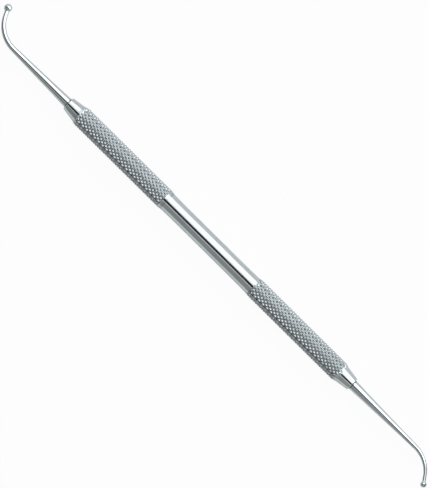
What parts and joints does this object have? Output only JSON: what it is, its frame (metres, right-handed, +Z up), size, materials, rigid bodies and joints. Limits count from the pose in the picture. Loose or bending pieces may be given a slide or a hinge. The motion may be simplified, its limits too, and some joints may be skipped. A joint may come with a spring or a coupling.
{
  "type": "dental burnisher",
  "caption": "Double-ended ball burnisher: a round steel handle with knurled grips and a smooth waist, and a bent tapered shank with a small ball at each end.",
  "frame": {"origin": "on the handle's axis, midway along the handle", "axes": "+X along the handle's axis towards the small ball; +Z up, with the instrument lying on its grips and its large ball; +Y to the side that the large ball bends to"},
  "size_m": [0.1755, 0.0149, 0.006],
  "materials": {
    "handle_steel": "polished stainless steel, with a diamond knurl on the grips",
    "end_steel": "polished stainless steel"
  },
  "bodies": {
    "root": {"handle": "handle_steel", "large_ball_end": "end_steel", "small_ball_end": "end_steel"}
  },
  "joints": []
}
